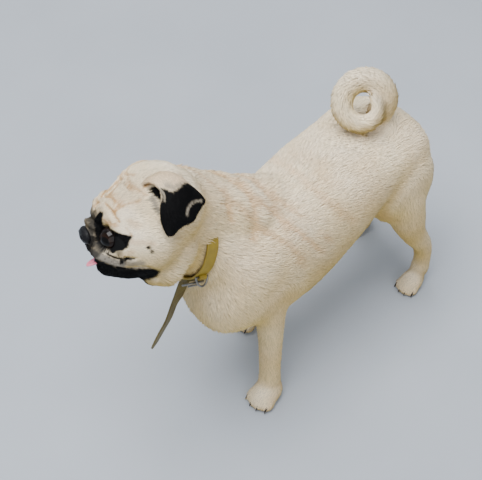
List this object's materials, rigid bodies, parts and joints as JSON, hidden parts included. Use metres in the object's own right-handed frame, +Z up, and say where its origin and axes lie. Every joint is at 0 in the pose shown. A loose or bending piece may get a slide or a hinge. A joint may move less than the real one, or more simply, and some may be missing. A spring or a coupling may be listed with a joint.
{
  "type": "standing pug, life-size still model",
  "caption": "Life-size still model of a standing fawn pug with black mask and ears, tightly curled tail and a leather collar.",
  "frame": {"origin": "middle of the whole model's box, on the floor under the belly", "axes": "+Z up, the dog faces -Y, and its left side is +X"},
  "size_m": [0.1652, 0.4836, 0.4177],
  "materials": {
    "coat": "short flat cream-fawn fur, palest on the back",
    "black_coat": "short black velvety fur of the ears",
    "eye": "wet, very dark brown eye with a clear glossy front",
    "nose_leather": "moist black pebbled skin",
    "tongue_flesh": "moist pink flesh",
    "collar_leather": "mustard-olive leather, darker along its worn edges",
    "collar_metal": "dull steel, dark in its corners"
  },
  "bodies": {
    "root": {"collar_buckle": "collar_metal", "collar_end": "collar_leather", "collar_keeper": "collar_leather", "collar_pin": "collar_metal", "collar_ring": "collar_metal", "collar_strap": "collar_leather", "ear_left": "black_coat", "ear_right": "black_coat", "eye_left": "eye", "eye_right": "eye", "front_leg_left": "coat", "front_leg_right": "coat", "front_paw_left": "coat", "front_paw_right": "coat", "head": "coat", "hind_leg_left": "coat", "hind_leg_right": "coat", "hind_paw_left": "coat", "hind_paw_right": "coat", "neck": "coat", "nose": "nose_leather", "tail": "coat", "tongue": "tongue_flesh", "torso": "coat"}
  },
  "joints": []
}
